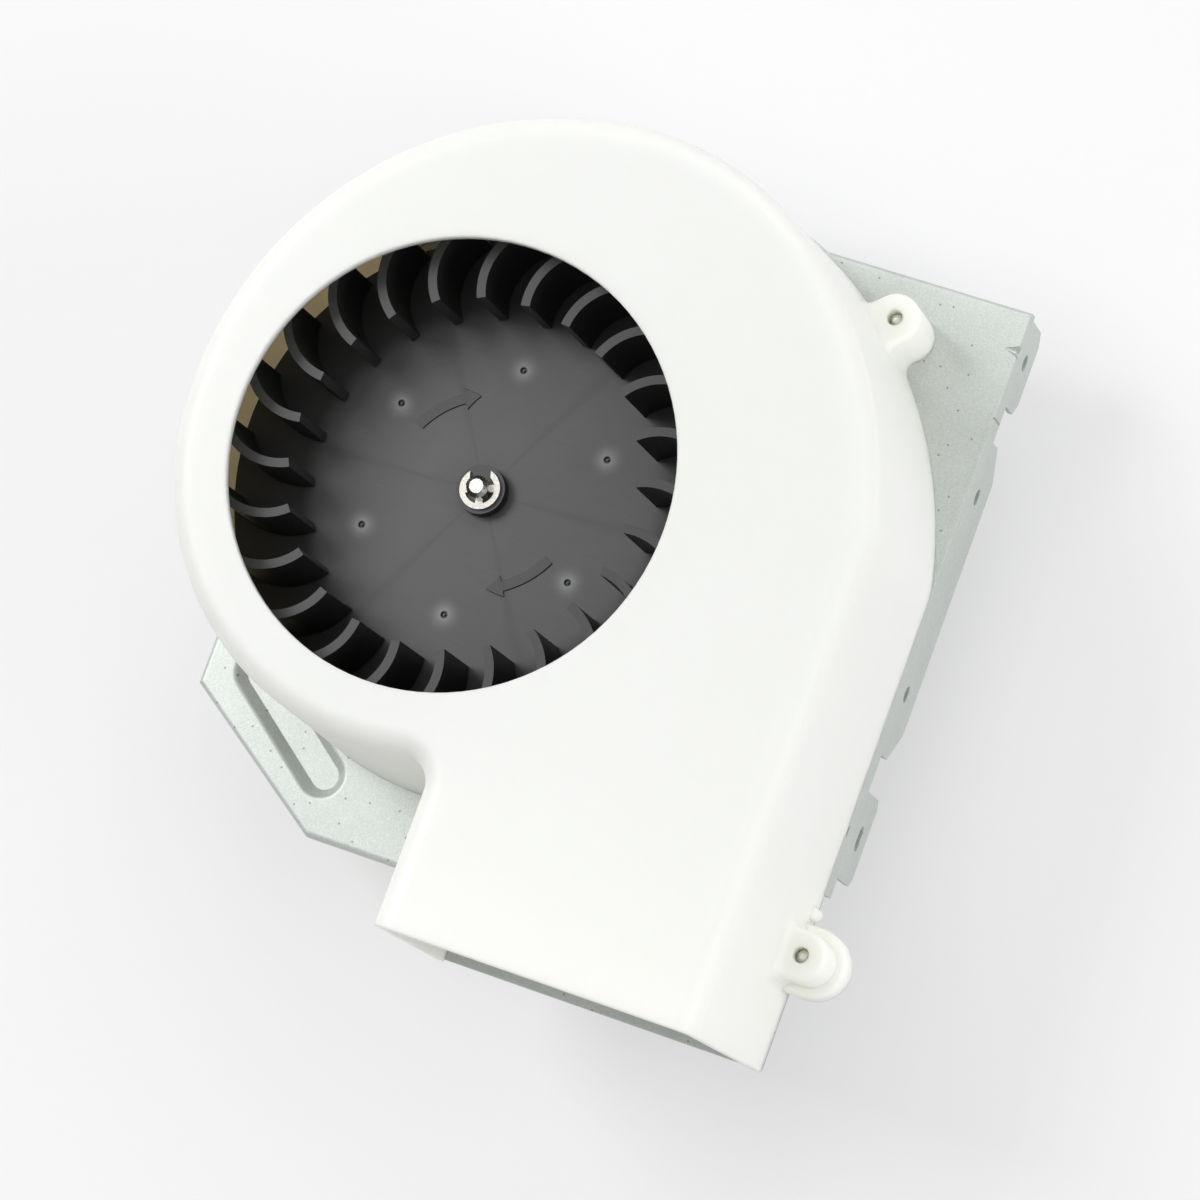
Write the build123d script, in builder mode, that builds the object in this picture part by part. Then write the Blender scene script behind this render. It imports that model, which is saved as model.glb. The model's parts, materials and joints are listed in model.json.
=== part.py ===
"""Centrifugal blower motor: a moulded scroll on a steel plate, with its fan wheel and motor.

Units are millimetres. +Z runs along the shaft, out of the inlet. The origin is on the shaft
axis, in the plane of the inlet. The outlet duct opens towards -Y, and the plate's fixing
flange is on the +X side.
"""
import os
from math import acos, asin, atan2, cos, degrees, radians, sin, sqrt, tan

from build123d import *

# Scroll housing: its outline is four tangent arcs, a straight wall and the outlet duct
inlet_radius = 60.0
housing_depth = 72.0
housing_wall = 2.5
wall_draft = 2.0
wheel_radius = 68.5
wheel_side_gap = 7.0
scroll_growth = (0.0, 21.5, 5.0)
scroll_joints = (186.0, 92.0, 51.3)
wall_joint = 11.05
duct_left = 20.0
duct_right = 114.0
duct_end = -118.0
duct_overrun = 10.0
tongue_radius = 5.0
wall_blend_radius = 30.0
face_edge_radius = 6.0

# Lugs that take the housing screws: angle round the shaft, and height above the plate
lug_radius = 6.7
lug_height = 23.0
lug_stand_off = 5.0
lug_overlap = 4.0
upper_lug_angle = 43.0
hidden_lug_angle = 120.0
side_lug_y = -87.0
side_lug_foot_height = 9.0
side_lug_foot_margin = 2.6
lug_edge_radius = 1.5
lug_blend_radius = 3.5
peg_radius = 1.7
peg_height = 6.0
peg_y = -74.5
screw_radius = 1.95
screw_hole_clearance = 0.2
screw_tip_depth = 2.5
screw_head_radius = 3.8
screw_head_height = 2.4

# Mounting plate, folded from sheet
sheet = 1.2
plate_left = -70.2
plate_top = 95.5
plate_bottom = -98.5
lower_corner = 30.0
lower_corner_run = 43.8
upper_corner = 26.0
upper_corner_run = 17.0
lip_depth = 4.8
foot_margin = 1.0
ear_radius = 9.0
channel_length = 34.0
channel_width = 13.0
channel_slope_width = 2.6
channel_edge_radius = 1.5
channel_depth = 3.4
channel_middle = (-41.5, -71.0)
channel_angle = -37.2
flange_top_y = 94.3
flange_end_y = -68.5
flange_depth = 8.0
tab_spans = ((70.7, 94.3, 20.5), (-28.2, 60.4, 23.5), (-62.8, -38.5, 24.5))
tab_corners = (3.5, 8.5, 2.3)
fold_radius = 1.6
flange_hole_radius = 2.25
flange_hole_drop = 11.5
flange_hole_y = (84.0, 45.6, -10.4)
slot_hole_y = -50.4
slot_hole_drop = 16.0
slot_hole_length = 7.0
relief_width = 3.2
relief_reach = 3.8
relief_drop = 2.5
relief_y = (84.3, -50.7)
boss_hole_radius = 16.0
window_inner_radius = 21.0
window_outer_radius = 42.0
spoke_half_angle = 36.0
window_corner = 4.0
plate_hole_clearance = 0.35

# Fan wheel
blade_count = 24
blade_phase = 14.0
blade_depth = 21.8
blade_arc_radius = 17.0
blade_lean = 11.0
blade_thickness = 2.4
wheel_front = -11.2
wheel_plate_gap = 10.0
disc_front = -34.8
disc_thickness = 2.0
rim_width = 2.4
rim_height = 4.0
hub_front_radius = 6.6
hub_front_height = 3.5
hub_radius = 8.5
hub_recess = 8.0
hub_rib_count = 6
hub_rib_reach = 40.0
hub_rib_height = 6.0
hub_rib_thickness = 1.6
mark_count = 6
mark_circle = 34.0
mark_phase = 32.2
mark_radius = 0.85
mark_pip_radius = 0.35
mark_depth = 0.6
arrow_count = 2
arrow_circle = 26.0
arrow_tip_angle = 112.5
arrow_sweep = 40.5
arrow_half_width = 1.4
arrow_head_half_width = 2.9
arrow_head_sweep = 9.0
arrow_depth = 0.45

# Shaft, its flat and the retaining ring
shaft_radius = 3.0
shaft_rise = 3.5
shaft_tip_chamfer = 1.1
flat_depth = 0.4
flat_run_out = 2.0
bore_clearance = 0.02
groove_radius = 2.5
ring_thickness = 0.8
ring_radius = 5.5
ring_opening_angle = 107.7
ring_opening_width = 5.6
ring_prong_width = 2.0
ring_play = 0.1

# Motor: stack, rotor and coil
stack_plate_gap = 8.3
stack_height = 20.0
stack_half_width = 33.0
stack_top_y = 31.0
pole_bottom_y = -24.0
limb_width = 12.0
leg_top_y = -42.0
leg_bottom_y = -58.0
stack_corner = 2.0
rotor_bore_radius = 17.3
air_gap = 0.3
end_ring_radius = 15.0
end_ring_inner_radius = 9.0
end_ring_height = 2.5
bolt_offset = 25.0
bolt_radius = 2.0
bolt_hole_clearance = 0.2
coil_length = 34.0
bobbin_wall = 1.2
bobbin_fit = 0.1
bobbin_flange = 1.5
bobbin_half_y = 15.0
bobbin_half_z = 16.5
winding_half_y = 13.6
winding_half_z = 15.4
winding_corner = 4.0
tape_thickness = 0.4
shading_angles = (28.0, 48.0, 208.0, 228.0)
shading_inner_radius = 19.4
shading_outer_radius = 26.4
shading_wire = 2.0
shading_hole_clearance = 0.1

# Motor brackets and what they hold
bracket_width = 16.0
bracket_thickness = 2.5
bracket_gap = 2.0
post_radius = 5.5
cup_radius = 13.0
cup_wall = 2.5
cup_bore_radius = 10.5
cup_reach = 7.7
bearing_ball_radius = 6.2
bearing_length = 7.0
shaft_running_gap = 0.03
cup_shaft_hole = 4.0
retainer_thickness = 0.5
retainer_inner_radius = 5.3
felt_inner_radius = 6.3
bush_radius = 4.8
bush_end_play = 0.4

# Rubber mountings and motor bolts
grommet_radius = 6.5
grommet_neck_radius = 4.6
grommet_rise = 1.2
sleeve_radius = 3.2
washer_radius = 6.0
washer_thickness = 0.8
bolt_head_radius = 4.0
bolt_head_height = 2.6
nut_flats = 7.0
nut_height = 3.2
bolt_end_beyond_nut = 1.3

# Terminals
terminal_block_width = 16.0
terminal_spacing = 16.0
terminal_width = 6.3
terminal_thickness = 0.8
terminal_reach = 11.0
terminal_hole_radius = 0.7

# Levels along the shaft that several pieces share
plate_face = -housing_depth
plate_back = plate_face - sheet
wheel_back = plate_face + wheel_plate_gap
hub_back = wheel_back + hub_recess
flat_end = hub_back + flat_run_out
stack_top = plate_back - stack_plate_gap
stack_bottom = stack_top - stack_height
stack_middle = stack_top - stack_height / 2
bracket_top = plate_back - bracket_gap
bracket_bottom = bracket_top - bracket_thickness
cup_end = bracket_top + cup_reach
cup_floor = cup_end - cup_wall
bearing_middle = cup_floor - bearing_length / 2
mirror_of_plate_side = Plane.XY.offset(stack_middle)
cup_back_end = 2 * stack_middle - cup_end
duct_middle = (duct_left + duct_right) / 2
leg_middle_y = (leg_top_y + leg_bottom_y) / 2
leg_height = leg_top_y - leg_bottom_y
leg_length = (stack_half_width - limb_width) * 2
bolt_places = [(-bolt_offset, 0), (bolt_offset, 0)]

os.makedirs("parts", exist_ok=True)


def write_part(name, piece):
    """Label one finished piece and write it as parts/name.step."""
    piece.label = name
    export_step(piece, f"parts/{name}.step")


def scroll_arcs():
    """Radius and centre of each arc: neighbours are tangent, and the last meets the side wall."""
    smallest = wheel_radius + wheel_side_gap + housing_wall
    radii = [smallest + growth for growth in scroll_growth]
    centres = [Vector(0, 0)]
    for angle, radius, following in zip(scroll_joints, radii, radii[1:]):
        outward = Vector(cos(radians(angle)), sin(radians(angle)))
        centres.append(centres[-1] + outward * (radius - following))
    joint = Vector(cos(radians(scroll_joints[2])), sin(radians(scroll_joints[2])))
    reach = duct_right - centres[-1].X - radii[-1] * joint.X
    last = reach / (cos(radians(wall_joint)) - joint.X)
    centres.append(centres[-1] + joint * (radii[-1] - last))
    return radii + [last], centres


scroll_radii, scroll_centres = scroll_arcs()


def wall_joint_angle(inset):
    """Angle on the last arc at which it meets the straight side wall."""
    reach = duct_right - inset - scroll_centres[3].X
    return degrees(acos(reach / (scroll_radii[3] - inset)))


def scroll_outline(inset, end_y):
    """The scroll's outline, moved in by inset, with its duct cut off at end_y."""
    left = duct_left + inset
    right = duct_right - inset
    tongue_arc = scroll_radii[0] - inset
    wall_arc = scroll_radii[3] - inset
    tongue_angle = -degrees(acos(left / tongue_arc))
    wall_angle = wall_joint_angle(inset)
    tongue = (left, tongue_arc * sin(radians(tongue_angle)))
    shoulder = (right, scroll_centres[3].Y + wall_arc * sin(radians(wall_angle)))
    starts = (tongue_angle + 360, *scroll_joints)
    ends = (*scroll_joints, wall_angle)
    with BuildSketch() as outline:
        with BuildLine():
            for centre, radius, start, end in zip(scroll_centres, scroll_radii, starts, ends):
                CenterArc((centre.X, centre.Y), radius - inset, end, start - end)
            Polyline(tongue, (left, end_y), (right, end_y), shoulder)
        make_face()
        corners = outline.vertices()
        fillet(corners.sort_by_distance((*tongue, 0))[0], tongue_radius + inset)
        corners = outline.vertices()
        fillet(corners.sort_by_distance((*shoulder, 0))[0], wall_blend_radius)
    return outline.sketch


def outline_point(angle, outward):
    """A point at this angle round the shaft, moved outward from the scroll's wall."""
    ray = Vector(cos(radians(angle)), sin(radians(angle)))
    wall_angle = wall_joint_angle(0)
    joints = (*scroll_joints, wall_angle)
    index = next(i for i, joint in enumerate(joints) if angle > joint)
    centre = scroll_centres[index]
    along = centre.dot(ray)
    across = centre.length**2 - along**2
    distance = along + sqrt(scroll_radii[index] ** 2 - across)
    return ray * (distance + outward)


upper_lug = outline_point(upper_lug_angle, lug_stand_off)
hidden_lug = outline_point(hidden_lug_angle, lug_stand_off)
side_lug = Vector(duct_right + lug_stand_off, side_lug_y)
lug_places = [(spot.X, spot.Y) for spot in (upper_lug, hidden_lug, side_lug)]
lug_roots = [spot - heading.normalized() * (lug_stand_off + lug_overlap) for spot, heading in
             zip((upper_lug, hidden_lug, side_lug), (upper_lug, hidden_lug, Vector(1, 0)))]
lug_top = plate_face + lug_height

# Air space inside the scroll, cut out of the housing below
with BuildPart() as air_space:
    with BuildSketch(Plane.XY.offset(plate_face)):
        add(scroll_outline(housing_wall, duct_end - duct_overrun * 2))
    extrude(amount=housing_depth - housing_wall, taper=wall_draft)
    roof_edges = air_space.faces().sort_by(Axis.Z)[-1].edges()
    fillet(roof_edges, face_edge_radius - housing_wall)


def lug_solid(place, root, height, margin=0):
    """A lug with straight flanks to the wall and a soft edge round its top."""
    reach = Vector(*place) - root
    with BuildPart() as lug:
        with BuildSketch(Plane.XY):
            with Locations((reach.length / 2, 0)):
                SlotCenterToCenter(reach.length, (lug_radius + margin) * 2)
        extrude(amount=height)
        fillet(lug.faces().sort_by(Axis.Z)[-1].edges(), lug_edge_radius)
    turn = degrees(atan2(reach.Y, reach.X))
    return Location((root.X, root.Y, plate_face), (0, 0, turn)) * lug.part


# Scroll housing
with BuildPart() as scroll_housing:
    with BuildSketch(Plane.XY.offset(plate_face)):
        add(scroll_outline(0, duct_end - duct_overrun))
    extrude(amount=housing_depth, taper=wall_draft)
    fillet(scroll_housing.faces().sort_by(Axis.Z)[-1].edges(), face_edge_radius)
    for place, root in zip(lug_places, lug_roots):
        add(lug_solid(place, root, lug_height))
        blends = scroll_housing.edges(Select.LAST).filter_by(
            lambda edge: edge.length > lug_height / 2 and abs(edge.tangent_at(0.5).Z) > 0.9)
        fillet(blends, lug_blend_radius)
    add(lug_solid(lug_places[2], lug_roots[2], side_lug_foot_height, side_lug_foot_margin))
    with Locations((duct_right, peg_y, plate_face + peg_height / 2)):
        Cylinder(peg_radius, peg_height)
    add(air_space.part, mode=Mode.SUBTRACT)
    split(bisect_by=Plane((0, duct_end, 0), z_dir=(0, 1, 0)), keep=Keep.TOP)
    with BuildSketch(Plane.XY.offset(-housing_wall * 2)):
        Circle(inlet_radius)
    extrude(amount=housing_wall * 3, mode=Mode.SUBTRACT)
    with BuildSketch(Plane.XY.offset(plate_face)):
        with Locations(*lug_places):
            Circle(screw_radius + screw_hole_clearance)
    extrude(amount=lug_height + 1, mode=Mode.SUBTRACT)
write_part("scroll_housing", scroll_housing.part)

# Housing screws, driven up from behind the plate into the lugs
with BuildPart() as housing_screws:
    with BuildSketch(Plane.XY.offset(plate_back - screw_head_height)):
        with Locations(*lug_places):
            Circle(screw_head_radius)
    extrude(amount=screw_head_height)
    head_rims = housing_screws.faces().sort_by(Axis.Z)[:3].edges()
    chamfer(head_rims, screw_head_height / 3)
    with BuildSketch(Plane.XY.offset(plate_back)):
        with Locations(*lug_places):
            Circle(screw_radius)
    extrude(amount=lug_top - screw_tip_depth - plate_back)
    tips = housing_screws.edges().filter_by(GeomType.CIRCLE).group_by(Axis.Z)[-1]
    chamfer(tips, screw_radius / 2)
write_part("housing_screws", housing_screws.part)


def chamfer_shift(inset, slope):
    """How far a chamfer's end moves along the edge that it leaves when all edges move in."""
    return inset * (sqrt(1 + slope**2) - 1) / slope


def plate_outline(inset):
    """The plate without its duct tongue and ear, with every edge moved in by inset."""
    left = plate_left + inset
    top = plate_top - inset
    bottom = plate_bottom + inset
    right = duct_right - inset
    lower_slope = lower_corner / lower_corner_run
    upper_slope = upper_corner / upper_corner_run
    lower_left = (left, plate_bottom + lower_corner + chamfer_shift(inset, 1 / lower_slope))
    lower_end = (plate_left + lower_corner_run + chamfer_shift(inset, lower_slope), bottom)
    upper_left = (left, plate_top - upper_corner - chamfer_shift(inset, 1 / upper_slope))
    upper_end = (plate_left + upper_corner_run + chamfer_shift(inset, upper_slope), top)
    with BuildSketch() as outline:
        add(scroll_outline(inset - foot_margin, duct_end))
        Rectangle((scroll_radii[0] + foot_margin * 2) * 2, wheel_radius * 4, mode=Mode.INTERSECT)
        with Locations((0, plate_bottom)):
            Rectangle(duct_middle * 4, plate_top, mode=Mode.SUBTRACT)
        with BuildLine():
            Polyline(lower_left, lower_end, (right, bottom), (right, top), upper_end,
                     upper_left, close=True)
        make_face()
    return outline.sketch


def channel_outline(half_width):
    """The pressed channel's outline: a slot across the plate's lower left corner."""
    with BuildSketch() as outline:
        with Locations(Location((*channel_middle, 0), channel_angle)):
            SlotCenterToCenter(channel_length, half_width * 2)
    return outline.sketch


plate_tongue_end = duct_end + sheet / 2
channel_top = channel_width / 2
channel_floor = channel_top - channel_slope_width
channel_skin = sheet / 2

# Mounting plate: tray, duct tongue, flange with its tabs, pressed channel and motor openings
with BuildPart() as mounting_plate:
    with BuildSketch(Plane.XY.offset(plate_face - lip_depth)):
        add(plate_outline(0))
    extrude(amount=lip_depth)
    straight_edges = mounting_plate.faces().sort_by(Axis.Z)[-1].edges().filter_by(GeomType.LINE)
    fillet(straight_edges, fold_radius)
    with BuildSketch(Plane.XY.offset(plate_face - lip_depth)):
        add(plate_outline(sheet))
        with Locations((duct_middle, plate_bottom)):
            Rectangle(duct_right - duct_left, sheet * 4)
        with Locations((duct_right, (flange_end_y + plate_bottom) / 2)):
            Rectangle(sheet * 4, flange_end_y - plate_bottom)
    extrude(amount=lip_depth - sheet, mode=Mode.SUBTRACT)
    with BuildSketch(Plane.XY.offset(plate_back)):
        with Locations((duct_middle, (plate_tongue_end + plate_bottom) / 2 + sheet)):
            Rectangle(duct_right - duct_left, plate_bottom - plate_tongue_end + sheet * 2)
        with Locations(lug_places[2]):
            Circle(ear_radius)
        with Locations((duct_right + lug_stand_off / 2, side_lug_y)):
            Rectangle(lug_stand_off, ear_radius * 2)
    extrude(amount=sheet)
    with BuildSketch(Plane.YZ.offset(duct_right - sheet)) as flange_shape:
        with Locations(((flange_top_y + flange_end_y) / 2, plate_face - flange_depth / 2)):
            Rectangle(flange_top_y - flange_end_y, flange_depth)
        for tab_low, tab_high, tab_depth in tab_spans:
            with Locations(((tab_low + tab_high) / 2, plate_face - tab_depth / 2)):
                Rectangle(tab_high - tab_low, tab_depth)
        for (tab_low, tab_high, tab_depth), corner in zip(tab_spans, tab_corners):
            tab_middle = Vector((tab_low + tab_high) / 2, plate_face - tab_depth)
            tab_end = flange_shape.vertices().sort_by_distance(tab_middle)[:2]
            chamfer(tab_end, corner)
        with Locations(*[(y, plate_face - flange_hole_drop) for y in flange_hole_y]):
            Circle(flange_hole_radius, mode=Mode.SUBTRACT)
        with Locations((slot_hole_y, plate_face - slot_hole_drop)):
            SlotOverall(slot_hole_length, flange_hole_radius * 2, mode=Mode.SUBTRACT)
    extrude(amount=sheet)
    with BuildSketch(Plane.XY.offset(plate_face - relief_drop)):
        for y in relief_y:
            with BuildLine():
                Polyline((duct_right - relief_reach, y), (duct_right, y - relief_width / 2),
                         (duct_right, y + relief_width / 2), close=True)
            make_face()
    extrude(amount=relief_drop, mode=Mode.SUBTRACT)
    with BuildSketch(Plane.XY.offset(plate_back)):
        add(channel_outline(channel_top + channel_skin))
    with BuildSketch(Plane.XY.offset(plate_back - channel_depth)):
        add(channel_outline(channel_floor + channel_skin))
    loft()
    with BuildSketch(Plane.XY.offset(plate_face)):
        add(channel_outline(channel_top))
    with BuildSketch(Plane.XY.offset(plate_face - channel_depth)):
        add(channel_outline(channel_floor))
    loft(mode=Mode.SUBTRACT)
    rim_spot = Vector(*channel_middle, plate_face)
    channel_rim = mounting_plate.edges().filter_by_position(
        Axis.Z, plate_face, plate_face).sort_by_distance(rim_spot)[:4]
    fillet(channel_rim, channel_edge_radius)
    with BuildSketch(Plane.XY.offset(plate_back)):
        Circle(boss_hole_radius)
        with Locations(*bolt_places):
            Circle(grommet_neck_radius)
        with Locations(*lug_places):
            Circle(screw_radius + plate_hole_clearance)
    extrude(amount=sheet, mode=Mode.SUBTRACT)
    with BuildSketch(Plane.XY.offset(plate_back)) as windows:
        Circle(window_outer_radius)
        Circle(window_inner_radius, mode=Mode.SUBTRACT)
        spoke_reach = window_outer_radius * 1.5
        spoke_rise = spoke_reach * tan(radians(spoke_half_angle))
        for side in (-1, 1):
            with BuildLine():
                Polyline((0, 0), (side * spoke_reach, -side * spoke_rise),
                         (side * spoke_reach, side * spoke_rise), close=True)
            make_face(mode=Mode.SUBTRACT)
        fillet(windows.vertices(), window_corner)
    extrude(amount=sheet, mode=Mode.SUBTRACT)
write_part("mounting_plate", mounting_plate.part)

# Levels and sizes of the fan wheel's own features
disc_back = disc_front - disc_thickness
ring_bottom = disc_front + hub_front_height + ring_play
shaft_front = ring_bottom + ring_thickness + shaft_rise
blade_inner_radius = wheel_radius - blade_depth
blade_turn = radians(blade_lean)
blade_centre = Vector(blade_inner_radius + blade_arc_radius * sin(blade_turn),
                      -blade_arc_radius * cos(blade_turn))
blade_tip_radius = wheel_radius - rim_width / 2


def blade_tip_angle():
    """Direction from the blade's centre of curvature to the tip of its middle line."""
    reach = blade_centre.length
    bearing = degrees(asin(blade_centre.Y / reach))
    fall = blade_tip_radius**2 - reach**2 - blade_arc_radius**2
    return bearing + degrees(acos(fall / (2 * reach * blade_arc_radius)))


def blade_outline():
    """One blade's section: a thick arc, hollow on the side that it turns towards."""
    tip = blade_tip_angle()
    sweep = 90 + blade_lean - tip
    spot = (blade_centre.X, blade_centre.Y)
    with BuildSketch() as outline:
        with BuildLine():
            back = CenterArc(spot, blade_arc_radius + blade_thickness / 2, tip, sweep)
            face = CenterArc(spot, blade_arc_radius - blade_thickness / 2, tip, sweep)
            Line(back @ 0, face @ 0)
            Line(back @ 1, face @ 1)
        make_face()
    return outline.sketch


def shaft_bore():
    """The wheel's bore: round, with one flat that the shaft's flat drives."""
    with BuildSketch() as outline:
        Circle(shaft_radius + bore_clearance)
        with Locations((shaft_radius * 2 - flat_depth + bore_clearance, 0)):
            Rectangle(shaft_radius * 2, shaft_radius * 4, mode=Mode.SUBTRACT)
    return outline.sketch


def arrow_outline():
    """A curved arrow that shows the running direction, seen along the shaft."""
    base = arrow_tip_angle + arrow_head_sweep
    stem_sweep = arrow_sweep - arrow_head_sweep
    head_inner = arrow_circle - arrow_head_half_width
    head_outer = arrow_circle + arrow_head_half_width
    barbs = [(radius * cos(radians(base)), radius * sin(radians(base)))
             for radius in (head_inner, head_outer)]
    tip = (arrow_circle * cos(radians(arrow_tip_angle)), arrow_circle * sin(radians(arrow_tip_angle)))
    with BuildSketch() as outline:
        with BuildLine():
            outer = CenterArc((0, 0), arrow_circle + arrow_half_width, base, stem_sweep)
            inner = CenterArc((0, 0), arrow_circle - arrow_half_width, base, stem_sweep)
            Line(outer @ 1, inner @ 1)
            Polyline(inner @ 0, barbs[0], tip, barbs[1], outer @ 0)
        make_face()
    return outline.sketch


# Fan wheel: disc, blades on both sides of it, end rims, hub with its ribs
with BuildPart() as impeller:
    with BuildSketch(Plane.XY.offset(wheel_back)):
        with PolarLocations(0, blade_count, start_angle=blade_phase):
            add(blade_outline())
    extrude(amount=wheel_front - wheel_back)
    with BuildSketch(Plane.XY.offset(disc_back)):
        Circle(wheel_radius)
    extrude(amount=disc_thickness)
    for rim_level in (wheel_back, wheel_front - rim_height):
        with BuildSketch(Plane.XY.offset(rim_level)):
            Circle(wheel_radius)
            Circle(wheel_radius - rim_width, mode=Mode.SUBTRACT)
        extrude(amount=rim_height)
    with BuildSketch(Plane.XY.offset(disc_front)):
        Circle(hub_front_radius)
    extrude(amount=hub_front_height)
    with BuildSketch(Plane.XY.offset(hub_back)):
        Circle(hub_radius)
    extrude(amount=disc_back - hub_back)
    with BuildSketch(Plane.XY.offset(disc_back - hub_rib_height)):
        with PolarLocations(hub_rib_reach / 2, hub_rib_count):
            Rectangle(hub_rib_reach, hub_rib_thickness)
    extrude(amount=hub_rib_height)
    with BuildSketch(Plane.XY.offset(disc_front)):
        with PolarLocations(mark_circle, mark_count, start_angle=mark_phase):
            Circle(mark_radius)
            Circle(mark_pip_radius, mode=Mode.SUBTRACT)
    extrude(amount=-mark_depth, mode=Mode.SUBTRACT)
    with BuildSketch(Plane.XY.offset(disc_front - arrow_depth)):
        with PolarLocations(0, arrow_count):
            add(arrow_outline())
    extrude(amount=arrow_depth, mode=Mode.SUBTRACT)
    with BuildSketch(Plane.XY.offset(flat_end)):
        add(shaft_bore())
    extrude(amount=disc_front + hub_front_height - flat_end, mode=Mode.SUBTRACT)
    with BuildSketch(Plane.XY.offset(hub_back)):
        Circle(shaft_radius + bore_clearance)
    extrude(amount=flat_end - hub_back, mode=Mode.SUBTRACT)
write_part("impeller", impeller.part)

# Shaft: ground rod with a driving flat and a groove for the retaining ring
shaft_back = cup_back_end + cup_wall + bush_end_play
with BuildPart() as shaft:
    with BuildSketch(Plane.XY.offset(shaft_back)):
        Circle(shaft_radius)
    extrude(amount=shaft_front - shaft_back)
    shaft_ends = shaft.edges().filter_by(GeomType.CIRCLE).sort_by(Axis.Z)
    chamfer(shaft_ends[0], shaft_radius - groove_radius)
    chamfer(shaft_ends[-1], shaft_tip_chamfer)
    with BuildSketch(Plane.XY.offset(ring_bottom)):
        Circle(shaft_radius * 2)
        Circle(groove_radius, mode=Mode.SUBTRACT)
    extrude(amount=ring_thickness, mode=Mode.SUBTRACT)
    with BuildSketch(Plane.XY.offset(flat_end)):
        with Locations((shaft_radius * 2 - flat_depth, 0)):
            Rectangle(shaft_radius * 2, shaft_radius * 4)
    extrude(amount=ring_bottom - flat_end, mode=Mode.SUBTRACT)
write_part("shaft", shaft.part)

# Retaining ring: open ring with three prongs that grip the shaft's groove
ring_inner_radius = (ring_radius + groove_radius) / 2 + bore_clearance
with BuildPart() as retaining_ring:
    with BuildSketch(Plane.XY.offset(ring_bottom)):
        Circle(ring_radius)
        Circle(ring_inner_radius, mode=Mode.SUBTRACT)
        prong_reach = (ring_radius + ring_inner_radius) / 2
        with PolarLocations(prong_reach / 2, 4, start_angle=ring_opening_angle):
            Rectangle(prong_reach, ring_prong_width)
        with PolarLocations((ring_radius + groove_radius) / 2, 1, start_angle=ring_opening_angle):
            Rectangle(ring_radius, ring_opening_width, mode=Mode.SUBTRACT)
        Circle(groove_radius + bore_clearance, mode=Mode.SUBTRACT)
    extrude(amount=ring_thickness)
write_part("retaining_ring", retaining_ring.part)

# Rotor core of stacked laminations
rotor_radius = rotor_bore_radius - air_gap
with BuildPart() as rotor_core:
    with BuildSketch(Plane.XY.offset(stack_bottom)):
        Circle(rotor_radius)
        Circle(shaft_radius, mode=Mode.SUBTRACT)
    extrude(amount=stack_height)
write_part("rotor_core", rotor_core.part)

# End rings of the rotor's cage, one on each face of the core
with BuildPart() as rotor_end_rings:
    for level in (stack_top, stack_bottom - end_ring_height):
        with BuildSketch(Plane.XY.offset(level)):
            Circle(end_ring_radius)
            Circle(end_ring_inner_radius, mode=Mode.SUBTRACT)
        extrude(amount=end_ring_height)
write_part("rotor_end_rings", rotor_end_rings.part)

# Thrust bushes between the rotor core and its bearings
bearing_inner_end = cup_floor - bearing_length
with BuildPart() as thrust_bushes:
    bush_length = bearing_inner_end - bush_end_play - stack_top
    for level in (stack_top, stack_bottom - bush_length):
        with BuildSketch(Plane.XY.offset(level)):
            Circle(bush_radius)
            Circle(shaft_radius, mode=Mode.SUBTRACT)
        extrude(amount=bush_length)
write_part("thrust_bushes", thrust_bushes.part)


def motor_bracket(shaft_hole_radius):
    """The plate-side bracket: a bridge on two posts, with the bearing's cup in its middle."""
    with BuildPart() as casting:
        with BuildSketch(Plane.XY.offset(bracket_bottom)):
            SlotCenterToCenter(bolt_offset * 2, bracket_width)
        extrude(amount=bracket_thickness)
        with BuildSketch(Plane.XY.offset(stack_top)):
            with Locations(*bolt_places):
                Circle(post_radius)
        extrude(amount=bracket_bottom - stack_top)
        with BuildSketch(Plane.XY.offset(bracket_bottom)):
            Circle(cup_radius)
        extrude(amount=cup_end - bracket_bottom)
        fillet(casting.faces().sort_by(Axis.Z)[-1].edges(), cup_wall / 2)
        with BuildSketch(Plane.XY.offset(bracket_bottom)):
            Circle(cup_bore_radius)
        extrude(amount=cup_floor - bracket_bottom, mode=Mode.SUBTRACT)
        with BuildSketch(Plane.XY.offset(stack_top)):
            with Locations(*bolt_places):
                Circle(bolt_radius + bolt_hole_clearance)
            if shaft_hole_radius > 0:
                Circle(shaft_hole_radius)
        extrude(amount=cup_end - stack_top, mode=Mode.SUBTRACT)
    return casting.part


write_part("front_bracket", motor_bracket(cup_shaft_hole))
write_part("rear_bracket", mirror(motor_bracket(0), about=mirror_of_plate_side))


def sleeve_bearing():
    """A self-aligning bearing: a bronze ball with flat ends, bored for the shaft."""
    end_radius = sqrt(bearing_ball_radius**2 - (bearing_length / 2) ** 2)
    bore = shaft_radius + shaft_running_gap
    half = bearing_length / 2
    with BuildPart() as ball:
        with BuildSketch(Plane.XZ):
            with BuildLine():
                ThreePointArc((end_radius, bearing_middle - half),
                              (bearing_ball_radius, bearing_middle),
                              (end_radius, bearing_middle + half))
                Polyline((end_radius, bearing_middle + half), (bore, bearing_middle + half),
                         (bore, bearing_middle - half), (end_radius, bearing_middle - half))
            make_face()
        revolve(axis=Axis.Z)
    return ball.part


write_part("front_bearing", sleeve_bearing())
write_part("rear_bearing", mirror(sleeve_bearing(), about=mirror_of_plate_side))


def cup_ring(inner_radius, top, thickness):
    """A flat ring that fills the bearing cup from its bore in to inner_radius."""
    with BuildPart() as ring:
        with BuildSketch(Plane.XY.offset(top - thickness)):
            Circle(cup_bore_radius)
            Circle(inner_radius, mode=Mode.SUBTRACT)
        extrude(amount=thickness)
    return ring.part


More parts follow.
